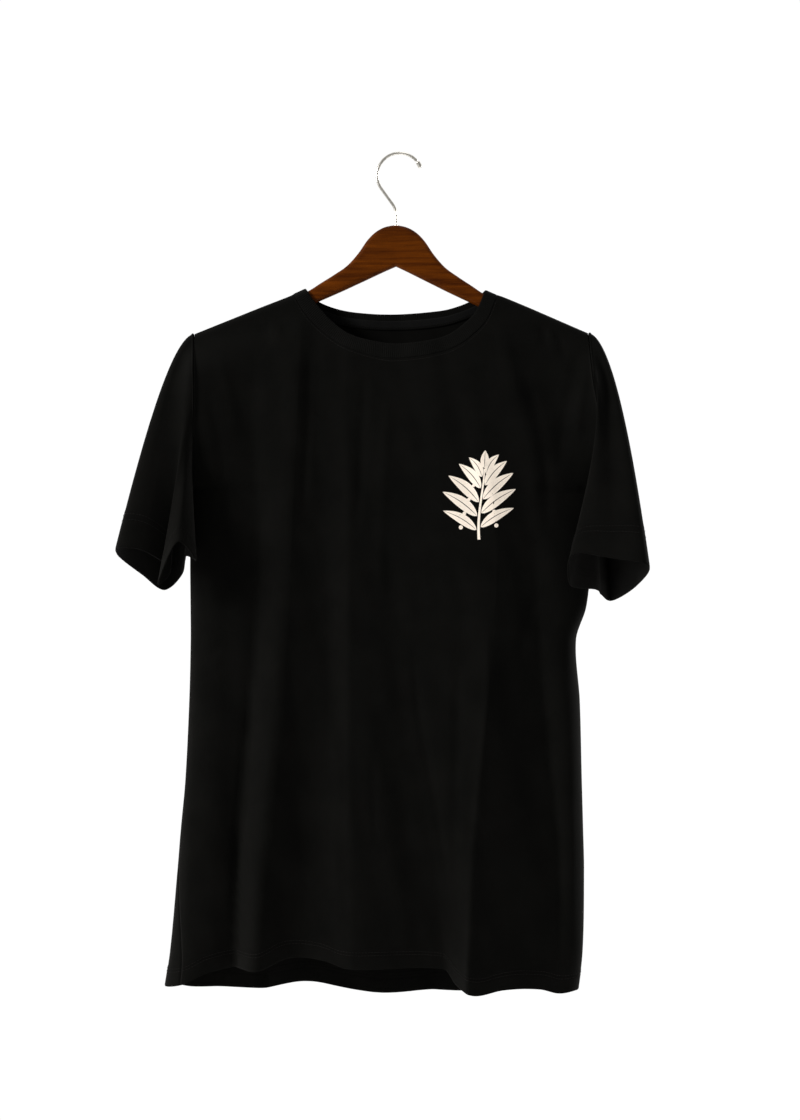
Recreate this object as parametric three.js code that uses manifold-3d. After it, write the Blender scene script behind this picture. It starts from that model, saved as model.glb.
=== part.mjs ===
// A crew neck t-shirt hung on a wooden clothes hanger with a wire hook.
//
// Millimetres, +Z up. The shirt's front faces -Y, and +X is the wearer's left. The origin is the
// underside of the wire at the top of the hook, where a rail carries the hanger.
//
// The cloth is a wall of even thickness. Each panel is a grid of points on the wall's middle
// surface: columns run from side to side, rows from the shoulder or neck down to the hem.

import * as THREE from 'three';
import Module from 'manifold-3d';
import { mergeVertices } from 'three/addons/utils/BufferGeometryUtils.js';

const wasm = await Module();
wasm.setup();

// ---------------------------------------------------------------- driving dimensions

const CLOTH_WALL = 1.2;
const RIB_WALL = 1.8; // the neck rib is folded double
const TAPE_WALL = 0.8;
const SEAM_GAP = 0.4; // clearance between the walls of two pieces sewn together

const WIRE = 3.4; // diameter of the hook's wire
const WIRE_STEPS = 5; // steps round each half of the wire
const HOOK_RADIUS = 24.4; // centre of the wire
const HOOK_TIP_ANGLE = 20; // degrees above the horizontal where the hook's open end stops
const HOOK_LEAN = 36; // degrees from the vertical, of the straight run down to the stem
const HOOK_LEAN_LENGTH = 20.6;
const HOOK_BEND_RADIUS = 20; // from the leaning run into the upright stem
const STEM_BOTTOM = -88; // the stem's end, inside the wood
const CAP_DIAMETER = 5; // metal cap pressed on the open end
const CAP_LENGTH = 8.5;

const WOOD_THICKNESS = 12;
const WOOD_EDGE = 4.5; // rounding of the wood's long edges
const WOOD_TILT = 0.016; // slope of the hanger's level line, down towards +X
const WOOD_REACH = 210; // from the stem to the tip of each arm
const CLOTH_ABOVE_WOOD = 3; // from the wood's top to the middle of the cloth on it
const LOOSE_SHOULDER = { from: 60, over: 60, lift: 3.4 }; // the cloth rides higher on the arm at +X
const SHOULDER_HALF = 8.6; // from the hanger's middle plane to the middle of the cloth beside it
const SHOULDER_ROUND = 7; // height over which the cloth rounds over the top of the wood

const ARMHOLE_DEPTH = 40; // how far the armhole's edge stands from the middle plane
const ARMPIT_Z = -362;
const SIDE_BLEND = 50; // below the shoulder, the sides close in over this height
const ACROSS_POWER = 0.7; // shape of the plan section: lower values are squarer
const DEPTH_POWER = 0.6;

// Half outline of the wood, from its middle out along an arm.
const WOOD = [
  { reach: 0, top: -76.5, under: -121.5 },
  { reach: 12, top: -79, under: -127 },
  { reach: 22, top: -84.5, under: -131.8 },
  { reach: 31, top: -93.5, under: -136.2 },
  { reach: 41, top: -108, under: -141 },
  { reach: 53, top: -121.5, under: -146.8 },
  { reach: 67, top: -131.5, under: -153.3 },
  { reach: 81, top: -140.5, under: -159.6 },
  { reach: 97, top: -150.6, under: -167 },
  { reach: 150, top: -172.7, under: -187.6 },
  { reach: WOOD_REACH, top: -197.8, under: -212 },
];

// Sides of the body by height. `turn` brings the side seam at -X round to the front.
const SIDES = [
  { z: -915, left: -256, right: 192, turn: 0.16 },
  { z: -863, left: -248, right: 198, turn: 0.14 },
  { z: -776, left: -240, right: 199.5, turn: 0.06 },
  { z: -733, left: -236.5, right: 198.5, turn: 0 },
  { z: -678, left: -231.5, right: 197, turn: 0 },
  { z: -592, left: -227.3, right: 194.8, turn: 0 },
  { z: -526, left: -225.8, right: 190.8, turn: 0 },
  { z: -490, left: -226, right: 202, turn: 0 },
  { z: -430, left: -226.3, right: 208, turn: 0 },
  { z: -362, left: -223.4, right: 212, turn: 0 },
  { z: -290, left: -220.5, right: 214, turn: 0 },
  { z: -244, left: -220.5, right: 207, turn: 0 },
  { z: -196, left: -222, right: 204, turn: 0 },
];

// How far the front and back hang out from the hanger's faces, by height, before the folds.
const HANG = [
  { z: -915, front: 44, back: 40 },
  { z: -754, front: 40, back: 37 },
  { z: -592, front: 34, back: 32 },
  { z: -429, front: 24, back: 22 },
  { z: -300, front: 14, back: 13 },
  { z: -200, front: 6, back: 4 },
  { z: -148, front: 0, back: 0 },
];

// Long folds from chest to hem. Each row is one crest or hollow: where it lies across the body
// and how far it stands out (or, negative, sinks in) at each of the heights in FOLD_HEIGHTS.
const FOLD_HEIGHTS = [-890, -754, -592, -429, -266, -170];
const FRONT_FOLDS = [
  { name: 'side crest', x: [-231, -227, -220, -216, -213, -212], out: [14, 12, 9, 8, 10, 0] },
  { name: 'side hollow', x: [-177, -172, -160, -152, -156, -150], out: [-22, -17, -12, -6, -3, 0] },
  { name: 'left crest', x: [-153, -145, -129, -118, -110, -106], out: [18, 16, 12, 8, 6, 1] },
  { name: 'left hollow', x: [-108, -93, -79, -80, -88, -86], out: [-12, -10, -7, -5, -2, 0] },
  { name: 'middle crest', x: [-50, -53, -55, -55, -58, -60], out: [3, 4, 5, 4, 2, 0] },
  { name: 'middle hollow', x: [49, 33, 11, -10, -36, -30], out: [-10, -7, -4, -3, -1, 0] },
  { name: 'right crest', x: [72, 77, 93, 104, 86, 70], out: [24, 18, 12, 6, 2, 0] },
  { name: 'right hollow', x: [172, 172, 156, 145, 122, 110], out: [-13, -13, -11, -2, 5, 2] },
  { name: 'right side crest', x: [186, 188, 186, 182, 172, 160], out: [-12, 2, 9, 3, -5, 0] },
];
const BACK_FOLDS = [
  { name: 'side crest', x: [-205, -200, -194, -186, -184, -180], out: [12, 10, 8, 6, 8, 0] },
  { name: 'left hollow', x: [-146, -140, -136, -138, -142, -140], out: [-16, -12, -9, -6, -3, 0] },
  { name: 'left crest', x: [-92, -96, -98, -100, -96, -90], out: [16, 13, 10, 6, 3, 0] },
  { name: 'middle hollow', x: [-24, -30, -34, -30, -28, -26], out: [-13, -9, -6, -3, -1, 0] },
  { name: 'middle crest', x: [38, 34, 28, 24, 22, 20], out: [15, 11, 8, 5, 2, 0] },
  { name: 'right hollow', x: [104, 98, 90, 84, 86, 90], out: [-14, -11, -8, -5, -3, 0] },
  { name: 'right crest', x: [156, 152, 146, 140, 138, 136], out: [14, 11, 8, 6, 5, 0] },
];

// Lower edges of the two panels.
const FRONT_HEM = [
  { x: -256, z: -900 },
  { x: -232, z: -894 },
  { x: -209, z: -883 },
  { x: -178, z: -877 },
  { x: -150, z: -877 },
  { x: -118, z: -866 },
  { x: -80, z: -868 },
  { x: -54, z: -876 },
  { x: 48, z: -878 },
  { x: 60, z: -893 },
  { x: 80, z: -902 },
  { x: 110, z: -898 },
  { x: 150, z: -900 },
  { x: 172, z: -906 },
  { x: 192, z: -904 },
];
const BACK_HEM = [
  { x: -256, z: -900 },
  { x: -225, z: -909 },
  { x: -150, z: -909 },
  { x: -105, z: -906 },
  { x: -40, z: -914 },
  { x: 50, z: -915 },
  { x: 130, z: -908 },
  { x: 192, z: -904 },
];

// The neck rib, a row for each section: its seam to the panel and its free edge.
const NECK_LEFT = { x: -115, z: -152, freeX: -101.5, freeZ: -145.8 };
const NECK_RIGHT = { x: 106, z: -152.8, freeX: 92.8, freeZ: -147.2 };
const FRONT_NECK = [
  NECK_LEFT,
  { x: -103.6, z: -171.5, freeX: -91.7, freeZ: -160.5 },
  { x: -86.3, z: -190.2, freeX: -75.4, freeZ: -179.4 },
  { x: -60.2, z: -208.7, freeX: -53.7, freeZ: -195.6 },
  { x: -22.2, z: -220.6, freeX: -21.2, freeZ: -204.3 },
  { x: 0.5, z: -221.9, freeX: 0.5, freeZ: -205.9 },
  { x: 35.3, z: -217.3, freeX: 33.1, freeZ: -202.1 },
  { x: 61.3, z: -208.9, freeX: 54.8, freeZ: -195 },
  { x: 83, z: -193.5, freeX: 73.2, freeZ: -181 },
  { x: 96.5, z: -177, freeX: 84, freeZ: -168 },
  NECK_RIGHT,
];
const BACK_NECK = [
  NECK_LEFT,
  { x: -101, z: -167.5, freeX: -91, freeZ: -157 },
  { x: -68, z: -182, freeX: -64.6, freeZ: -167.4 },
  { x: -33, z: -187.3, freeX: -32, freeZ: -171.8 },
  { x: 0.5, z: -188, freeX: 0.5, freeZ: -172.3 },
  { x: 35, z: -185.5, freeX: 33.1, freeZ: -169.8 },
  { x: 60, z: -180.5, freeX: 54.8, freeZ: -166.5 },
  { x: 91, z: -167.5, freeX: 80, freeZ: -157 },
  NECK_RIGHT,
];
const TAPE_EDGES = [0.02, 0.28, 0.54]; // the tape's edges and middle, across the rib from its seam
const TAPE_REACH = 90; // the tape ends this far from the middle of the neck

// Sleeve hems: places round each opening, from the fold that continues the shoulder, by the
// front, to the underarm seam halfway round, and back. `cap` is how the sleeve first runs off
// the shoulder. The front of the right sleeve is tucked under a strip beside the body.
const SLEEVE_RIGHT = {
  side: -1,
  cap: [-30, -10, -8],
  hem: [
    { name: 'outer fold', x: -296, y: -88, z: -427 },
    { name: 'front face', x: -270, y: -84, z: -430 },
    { name: 'tuck', x: -243.5, y: -64, z: -450 },
    { name: 'strip edge', x: -255, y: -80, z: -465 },
    { name: 'strip', x: -234, y: -92, z: -421 },
    { name: 'inner face', x: -216, y: -66, z: -440 },
    { name: 'underarm', x: -231.5, y: -10, z: -436 },
    { name: 'inner back', x: -239, y: 34, z: -456 },
    { name: 'back fold', x: -260, y: 52, z: -473 },
    { name: 'back face', x: -281, y: 20, z: -456 },
    { name: 'outer back', x: -297, y: -20, z: -441 },
    { name: 'outer face', x: -301, y: -56, z: -433 },
  ],
};
const SLEEVE_LEFT = {
  side: 1,
  cap: [31, -12, -8],
  hem: [
    { name: 'outer fold', x: 262, y: -92, z: -446 },
    { name: 'front face', x: 224, y: -83, z: -438 },
    { name: 'front crease', x: 184, y: -69, z: -434 },
    { name: 'inner face', x: 182, y: -52, z: -466 },
    { name: 'underarm', x: 213, y: -4, z: -472 },
    { name: 'inner back', x: 222, y: 40, z: -478 },
    { name: 'back fold', x: 236, y: 68, z: -485 },
    { name: 'outer face', x: 255, y: -20, z: -468 },
  ],
};

// Rows of each panel, as lengths below its upper edge on a nominal body length.
const BODY_LENGTH = 740;
const ROWS = [0, 2, 5, 9, 20, 40, 65, 95, 130, 165, 195, 230, 270, 320, 370, 425, 480, 535, 590, 640,
  690, BODY_LENGTH];
const COLUMNS = { shoulder: 9, neck: 16 };
const SLEEVE_STEPS = { around: 36, along: 8 };

// ---------------------------------------------------------------- curves

const smooth = (t) => {
  const s = Math.min(Math.max(t, 0), 1);
  return s * s * (3 - 2 * s);
};

const signedPower = (v, power) => Math.sign(v) * Math.abs(v) ** power;

// The value at `at` of a smooth curve through places xs (rising) with heights ys, level beyond
// its ends.
function curveValue(xs, ys, at) {
  const last = xs.length - 1;
  if (at <= xs[0]) return ys[0];
  if (at >= xs[last]) return ys[last];
  let i = 0;
  while (at > xs[i + 1]) i += 1;
  const slope = (k) => {
    const a = Math.max(k - 1, 0);
    const b = Math.min(k + 1, last);
    return (ys[b] - ys[a]) / (xs[b] - xs[a]);
  };
  const span = xs[i + 1] - xs[i];
  const t = (at - xs[i]) / span;
  const rise = t * t * (3 - 2 * t);
  const leave = t * (1 - t) * (1 - t) * span * slope(i);
  const arrive = -t * t * (1 - t) * span * slope(i + 1);
  return ys[i] + (ys[i + 1] - ys[i]) * rise + leave + arrive;
}

// One column of a table as a curve over another of its columns.
function column(rows, over, name) {
  const xs = rows.map((row) => row[over]);
  const ys = rows.map((row) => row[name]);
  return (at) => curveValue(xs, ys, at);
}

// A closed smooth curve through points of a ring, at t from 0 to 1.
function ringPoint(rows, t) {
  const n = rows.length;
  const place = (((t % 1) + 1) % 1) * n;
  const i = Math.floor(place);
  const f = place - i;
  const [a, b, c, d] = [-1, 0, 1, 2].map((k) => rows[(i + k + n) % n]);
  return ['x', 'y', 'z'].map((k) => {
    const bend = (2 * a[k] - 5 * b[k] + 4 * c[k] - d[k]) * f * f;
    const twist = (3 * b[k] - a[k] - 3 * c[k] + d[k]) * f * f * f;
    return 0.5 * (2 * b[k] + (c[k] - a[k]) * f + bend + twist);
  });
}

// ---------------------------------------------------------------- the hanging body

// x of the upright stem, where the hook's leaning run and bend bring it.
const lean = THREE.MathUtils.degToRad(HOOK_LEAN);
const STEM_X = -HOOK_RADIUS * Math.cos(lean) + HOOK_LEAN_LENGTH * Math.sin(lean)
  + HOOK_BEND_RADIUS * (1 - Math.cos(lean));

const woodHalf = (name) => column(WOOD, 'reach', name);
const woodTop = (x) => woodHalf('top')(Math.abs(x - STEM_X)) - WOOD_TILT * (x - STEM_X)
  - Math.max(Math.abs(x - STEM_X) - WOOD_REACH, 0) * 0.42;
const woodUnder = (x) => woodHalf('under')(Math.abs(x - STEM_X)) - WOOD_TILT * (x - STEM_X);
const roof = (x) => woodTop(x) + CLOTH_ABOVE_WOOD
  + LOOSE_SHOULDER.lift * smooth((x - LOOSE_SHOULDER.from) / LOOSE_SHOULDER.over);

const bodyLeft = column(SIDES, 'z', 'left');
const bodyRight = column(SIDES, 'z', 'right');
const seamTurn = column(SIDES, 'z', 'turn');

// How far the folds bring the cloth out at a place: level at each crest and hollow, and a
// smooth slope between neighbours.
function foldOut(folds, x, z) {
  const lines = folds.map((fold) => ({
    x: curveValue(FOLD_HEIGHTS, fold.x, z),
    out: curveValue(FOLD_HEIGHTS, fold.out, z),
  }));
  const next = lines.findIndex((line) => line.x > x);
  if (next === 0) return lines[0].out;
  if (next < 0) return lines[lines.length - 1].out;
  const [a, b] = [lines[next - 1], lines[next]];
  return a.out + (b.out - a.out) * smooth((x - a.x) / (b.x - a.x));
}

const FRONT = {
  sign: -1,
  hang: column(HANG, 'z', 'front'),
  folds: FRONT_FOLDS,
  hem: column(FRONT_HEM, 'x', 'z'),
  neck: column(FRONT_NECK, 'x', 'z'),
};
const BACK = {
  sign: 1,
  hang: column(HANG, 'z', 'back'),
  folds: BACK_FOLDS,
  hem: column(BACK_HEM, 'x', 'z'),
  neck: column(BACK_NECK, 'x', 'z'),
};

function armholeOut(z) {
  const top = roof(bodyLeft(z));
  const t = Math.min(Math.max((top - z) / (top - ARMPIT_Z), 0), 1);
  return ARMHOLE_DEPTH * Math.sqrt(Math.sin(Math.PI * t));
}

// How far the middle of the cloth stands from the hanger's middle plane.
function clothOut(face, x, z) {
  const below = Math.max(roof(x) - z, 0);
  const round = 1 - Math.min(below / SHOULDER_ROUND, 1);
  const shoulder = SHOULDER_HALF * Math.sqrt(1 - round * round);
  return shoulder + (face.hang(z) + foldOut(face.folds, x, z)) * smooth(below / SIDE_BLEND);
}

const acrossOf = (u) => (1 - signedPower(Math.cos(Math.PI * u), ACROSS_POWER)) / 2;
const columnAt = (x, z) => {
  const across = (x - bodyLeft(z)) / (bodyRight(z) - bodyLeft(z));
  return Math.acos(signedPower(1 - 2 * across, 1 / ACROSS_POWER)) / Math.PI;
};

// A point of the body's tube: u runs from 0 at the -X side to 1 at the +X side, and below 0 it
// goes round that side to the other face.
function bodyPoint(face, u, z) {
  if (u < 0) return bodyPoint(face === FRONT ? BACK : FRONT, -u, z);
  const x = widthPlace(u, z);
  const full = clothOut(face, x, z);
  const closing = smooth((roof(x) - z) / SIDE_BLEND) * (1 - Math.sin(Math.PI * u) ** DEPTH_POWER);
  const y = full + (armholeOut(z) - full) * closing;
  return new THREE.Vector3(x, face.sign * y, z);
}

const SHOULDER_Z = -196; // above this height the body's width stays the same
const HEM_Z = -900;

function panelTop(face, x) {
  return x > NECK_LEFT.x && x < NECK_RIGHT.x ? face.neck(x) : roof(x);
}

// Places across the neck, closest together where the seam runs steeply over the hanger's arms.
const neckPlaces = Array.from({ length: COLUMNS.neck + 1 }, (_, i) => {
  const t = (1 - Math.cos(Math.PI * i / COLUMNS.neck)) / 2;
  return NECK_LEFT.x + (NECK_RIGHT.x - NECK_LEFT.x) * t;
});

const neckColumns = neckPlaces.map((x) => columnAt(x, SHOULDER_Z));

function panelColumns() {
  const share = Array.from({ length: COLUMNS.shoulder }, (_, i) => i / COLUMNS.shoulder);
  const [left, right] = [neckColumns[0], neckColumns[COLUMNS.neck]];
  const toNeck = share.map((t) => left * t);
  const fromNeck = share.map((t) => 1 - (1 - right) * t).reverse();
  return [...toNeck, ...neckColumns, ...fromNeck];
}

function widthPlace(u, z) {
  return bodyLeft(z) + (bodyRight(z) - bodyLeft(z)) * acrossOf(u);
}

// A panel's column u as it lies at a height, where the side seam comes round to the front.
function turned(face, u, z) {
  const turn = -face.sign * seamTurn(z);
  return turn + (1 - turn) * u;
}

// The lower edge at a place round the body, whichever panel is sewn there.
function hemAt(face, u) {
  const side = u < 0 ? FRONT : face;
  return side.hem(widthPlace(Math.abs(u), HEM_Z));
}

function columnPoint(face, u, length) {
  const top = panelTop(face, widthPlace(u, SHOULDER_Z));
  const hem = hemAt(face, turned(face, u, HEM_Z));
  const z = top + (hem - top) * length / BODY_LENGTH;
  return bodyPoint(face, turned(face, u, z), z);
}

const panelGrid = (face) => ROWS.map((length) => (
  panelColumns().map((u) => columnPoint(face, u, length))
));

// ---------------------------------------------------------------- from grids to walls

// Draws a grid's edge back into the grid by a length.
function trimmed(grid, edges, by) {
  const rows = grid.map((row) => row.map((p) => p.clone()));
  const last = { row: rows.length - 1, column: rows[0].length - 1 };
  const draw = (edge, inner) => edge.add(inner.clone().sub(edge).setLength(by));
  if (edges.includes('top')) rows[0].forEach((p, i) => draw(p, grid[1][i]));
  if (edges.includes('bottom')) rows[last.row].forEach((p, i) => draw(p, grid[last.row - 1][i]));
  if (edges.includes('sides')) {
    rows.forEach((row, i) => {
      draw(row[0], grid[i][1]);
      draw(row[last.column], grid[i][last.column - 1]);
    });
  }
  return rows;
}

function gridNormals(grid, closed) {
  const columns = grid[0].length;
  const pick = (i, j) => {
    const row = grid[Math.min(Math.max(i, 0), grid.length - 1)];
    return closed ? row[(j + columns) % columns] : row[Math.min(Math.max(j, 0), columns - 1)];
  };
  return grid.map((row, i) => row.map((_, j) => {
    const across = pick(i, j + 1).clone().sub(pick(i, j - 1));
    const down = pick(i + 1, j).clone().sub(pick(i - 1, j));
    return across.cross(down).normalize();
  }));
}

// A closed wall on a grid of points. A closed grid joins its last column to its first, as a tube.
function wall(grid, thickness, closed = false) {
  const normals = gridNormals(grid, closed);
  const [rows, columns] = [grid.length, grid[0].length];
  const positions = [];
  [0.5, -0.5].forEach((half) => grid.forEach((row, i) => row.forEach((p, j) => {
    const q = p.clone().addScaledVector(normals[i][j], thickness * half);
    positions.push(q.x, q.y, q.z);
  })));
  const at = (layer, i, j) => (layer * rows + i) * columns + (j % columns);
  const triangles = [];
  const quad = (a, b, c, d) => triangles.push(a, b, c, a, c, d);
  const spans = closed ? columns : columns - 1;
  for (let i = 0; i < rows - 1; i += 1) {
    for (let j = 0; j < spans; j += 1) {
      quad(at(0, i, j), at(0, i, j + 1), at(0, i + 1, j + 1), at(0, i + 1, j));
      quad(at(1, i, j), at(1, i + 1, j), at(1, i + 1, j + 1), at(1, i, j + 1));
    }
  }
  for (let j = 0; j < spans; j += 1) {
    quad(at(0, 0, j), at(1, 0, j), at(1, 0, j + 1), at(0, 0, j + 1));
    quad(at(0, rows - 1, j), at(0, rows - 1, j + 1), at(1, rows - 1, j + 1), at(1, rows - 1, j));
  }
  for (let i = 0; i < rows - 1 && !closed; i += 1) {
    const end = columns - 1;
    quad(at(0, i, 0), at(0, i + 1, 0), at(1, i + 1, 0), at(1, i, 0));
    quad(at(0, i, end), at(1, i, end), at(1, i + 1, end), at(0, i + 1, end));
  }
  return outward(positions, triangles);
}

// A geometry whose faces point out, whichever way its grid was wound.
function outward(positions, triangles) {
  const corner = (index) => new THREE.Vector3().fromArray(positions, 3 * index);
  let volume = 0;
  for (let k = 0; k < triangles.length; k += 3) {
    const [a, b, c] = [0, 1, 2].map((m) => corner(triangles[k + m]));
    volume += a.dot(b.cross(c));
  }
  if (volume < 0) triangles.reverse();
  const geometry = new THREE.BufferGeometry();
  geometry.setAttribute('position', new THREE.Float32BufferAttribute(positions, 3));
  geometry.setIndex(triangles);
  return geometry;
}

// ---------------------------------------------------------------- cloth pieces

const panel = (face) => wall(trimmed(panelGrid(face), ['top', 'sides'], SEAM_GAP), CLOTH_WALL);

// The armhole's edge, from the shoulder (w = 0) by the front to the armpit (0.5) and back.
function armholePoint(side, w) {
  const face = w <= 0.5 ? FRONT : BACK;
  const u = side < 0 ? 0 : 1;
  const down = (1 - Math.cos(2 * Math.PI * w)) / 2;
  const top = roof(side < 0 ? bodyLeft(SHOULDER_Z) : bodyRight(SHOULDER_Z));
  const point = bodyPoint(face, u, top + (ARMPIT_Z - top) * down);
  const clear = CLOTH_WALL / 2 + 1.5 * SEAM_GAP + CLOTH_WALL / 2 * Math.sin(Math.PI * w) ** 2;
  point.x += side * clear;
  return point;
}

// The sleeve leaves the armhole along its cap and bends down to its hem.
function sleeve({ side, cap, hem }) {
  const { around, along } = SLEEVE_STEPS;
  const capOffset = new THREE.Vector3(...cap);
  const grid = [];
  for (let i = 0; i <= along; i += 1) {
    const t = i / along;
    const row = [];
    for (let j = 0; j < around; j += 1) {
      const w = j / around;
      const start = armholePoint(side, w);
      const bend = start.clone().addScaledVector(capOffset, Math.cos(Math.PI * w) ** 6);
      const end = new THREE.Vector3(...ringPoint(hem, w));
      const p = start.multiplyScalar((1 - t) ** 2).addScaledVector(bend, 2 * t * (1 - t));
      row.push(p.addScaledVector(end, t * t));
    }
    grid.push(row);
  }
  return wall(grid, CLOTH_WALL, true);
}

// A section of the neck rib: its seam on the panel's edge, its middle and its free edge.
function ribSection(face, rows, place) {
  const x = neckPlaces[place];
  const seam = columnPoint(face, neckColumns[place], 0);
  const free = new THREE.Vector3(column(rows, 'x', 'freeX')(x), 0, column(rows, 'x', 'freeZ')(x));
  free.y = face.sign * clothOut(face, free.x, free.z);
  return [seam, seam.clone().lerp(free, 0.5), free];
}

// Front sections from -X to +X, then back sections from +X to -X.
function neckRib() {
  const last = COLUMNS.neck;
  const sections = [];
  for (let place = 0; place < last; place += 1) sections.push(ribSection(FRONT, FRONT_NECK, place));
  for (let place = last; place > 0; place -= 1) sections.push(ribSection(BACK, BACK_NECK, place));
  const grid = [0, 1, 2].map((row) => sections.map((section) => section[row]));
  return wall(trimmed(grid, ['top'], SEAM_GAP), RIB_WALL, true);
}

// Tape over the seam inside the back neck, on the inner face of the rib's lower half.
function neckTape() {
  const inside = RIB_WALL / 2 + SEAM_GAP + TAPE_WALL / 2;
  const places = neckPlaces.map((_, i) => i).filter((i) => Math.abs(neckPlaces[i]) < TAPE_REACH);
  const sections = places.map((place) => ribSection(BACK, BACK_NECK, place));
  const grid = TAPE_EDGES.map((s) => sections.map(([seam, , free]) => {
    const point = seam.clone().lerp(free, s);
    point.y -= inside;
    return point;
  }));
  return wall(grid, TAPE_WALL);
}

// ---------------------------------------------------------------- the hanger

// A point of the wood's outline, drawn in square to the outline by the rounding of its edges.
function woodOutline(edge, offset, inward) {
  const x = STEM_X + offset;
  const slope = (edge(x + 0.5) - edge(x - 0.5));
  const inset = WOOD_EDGE / Math.sqrt(1 + slope * slope);
  return [x - inward * slope * inset, edge(x) + inward * inset];
}

function hangerWood() {
  const reaches = WOOD.flatMap(({ reach }, i) => (i ? [(WOOD[i - 1].reach + reach) / 2, reach] : [0]));
  reaches[reaches.length - 1] -= WOOD_EDGE;
  const across = [...reaches.slice(1).map((reach) => -reach).reverse(), ...reaches];
  const top = across.map((offset) => woodOutline(woodTop, offset, -1));
  const under = across.slice(1, -1).reverse().map((offset) => woodOutline(woodUnder, offset, 1));
  const shape = new THREE.Shape([...top, ...under].map(([x, z]) => new THREE.Vector2(x, z)));
  const geometry = new THREE.ExtrudeGeometry(shape, {
    depth: WOOD_THICKNESS - 2 * WOOD_EDGE,
    bevelEnabled: true,
    bevelThickness: WOOD_EDGE,
    bevelSize: WOOD_EDGE,
    bevelSegments: 2,
  });
  geometry.rotateX(Math.PI / 2);
  geometry.translate(0, WOOD_THICKNESS / 2 - WOOD_EDGE, 0);
  return cut(geometry, stemBore());
}

function stemBore() {
  const depth = 2 * (woodTop(STEM_X) - STEM_BOTTOM + SEAM_GAP);
  const bore = new THREE.CylinderGeometry(WIRE / 2 + SEAM_GAP, WIRE / 2 + SEAM_GAP, depth, 16);
  bore.rotateX(Math.PI / 2);
  bore.translate(STEM_X, 0, woodTop(STEM_X));
  return bore;
}

function solid(geometry) {
  const bare = geometry.clone();
  bare.deleteAttribute('normal');
  bare.deleteAttribute('uv');
  const merged = mergeVertices(bare, 1e-3);
  return new wasm.Manifold(new wasm.Mesh({
    numProp: 3,
    vertProperties: merged.attributes.position.array,
    triVerts: Uint32Array.from(merged.index.array),
  }));
}

function cut(geometry, tool) {
  const mesh = solid(geometry).subtract(solid(tool)).getMesh();
  const result = new THREE.BufferGeometry();
  result.setAttribute('position', new THREE.Float32BufferAttribute(mesh.vertProperties, 3));
  result.setIndex(Array.from(mesh.triVerts));
  return result;
}

const onHook = (angle) => new THREE.Vector3(
  HOOK_RADIUS * Math.cos(angle),
  0,
  HOOK_RADIUS * Math.sin(angle) - HOOK_RADIUS + WIRE / 2,
);

const circle = (diameter) => new THREE.Shape().absarc(0, 0, diameter / 2, 0, 2 * Math.PI);

function alongPath(points, diameter) {
  const path = new THREE.CatmullRomCurve3(points, false, 'centripetal');
  const steps = Math.ceil(path.getLength() / (WIRE * 1.4));
  return new THREE.ExtrudeGeometry(circle(diameter), {
    steps,
    curveSegments: WIRE_STEPS,
    extrudePath: path,
    bevelEnabled: false,
  });
}

function hookPoints() {
  const start = THREE.MathUtils.degToRad(HOOK_TIP_ANGLE) + CAP_LENGTH / HOOK_RADIUS;
  const end = Math.PI + lean;
  const points = [];
  for (let i = 0; i <= 16; i += 1) points.push(onHook(start + (end - start) * i / 16));
  const leaning = new THREE.Vector3(Math.sin(lean), 0, -Math.cos(lean));
  const bendStart = onHook(end).addScaledVector(leaning, HOOK_LEAN_LENGTH);
  points.push(bendStart.clone());
  for (let i = 1; i <= 3; i += 1) {
    const turned = lean * (1 - i / 3);
    points.push(new THREE.Vector3(
      bendStart.x + HOOK_BEND_RADIUS * (Math.cos(turned) - Math.cos(lean)),
      0,
      bendStart.z - HOOK_BEND_RADIUS * (Math.sin(lean) - Math.sin(turned)),
    ));
  }
  points.push(new THREE.Vector3(STEM_X, 0, STEM_BOTTOM));
  return points;
}

function hookCap() {
  const from = THREE.MathUtils.degToRad(HOOK_TIP_ANGLE);
  const to = from + (CAP_LENGTH - 1.5 * SEAM_GAP) / HOOK_RADIUS;
  const points = [0, 0.5, 1].map((t) => onHook(from + (to - from) * t));
  return alongPath(points, CAP_DIAMETER);
}

// ---------------------------------------------------------------- the part

const finish = (color, roughness, metalness = 0) => (
  new THREE.MeshStandardMaterial({ color, roughness, metalness })
);
const jersey = finish(0x111110, 0.9);
const ribbing = finish(0x131312, 0.92);
const tape = finish(0x171716, 0.9);
const wood = finish(0x4a230c, 0.4);
const steel = finish(0xc9c4b8, 0.3, 1);

const group = new THREE.Group();

function add(name, geometry, material) {
  const mesh = new THREE.Mesh(geometry, material);
  mesh.name = name;
  group.add(mesh);
}

add('front_panel', panel(FRONT), jersey);
add('back_panel', panel(BACK), jersey);
add('sleeve_right', sleeve(SLEEVE_RIGHT), jersey);
add('sleeve_left', sleeve(SLEEVE_LEFT), jersey);
add('neck_rib', neckRib(), ribbing);
add('neck_tape', neckTape(), tape);
add('hanger_wood', hangerWood(), wood);
add('hanger_hook', alongPath(hookPoints(), WIRE), steel);
add('hook_cap', hookCap(), steel);

export default group;
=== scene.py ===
"""A crew neck t-shirt hung on a wooden clothes hanger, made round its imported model.

Tables are in millimetres, +Z up, with the shirt's front towards -Y and the wearer's left towards
+X. The origin is the underside of the hook's wire at its top. Meshes are made in metres.
"""

import math

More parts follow.
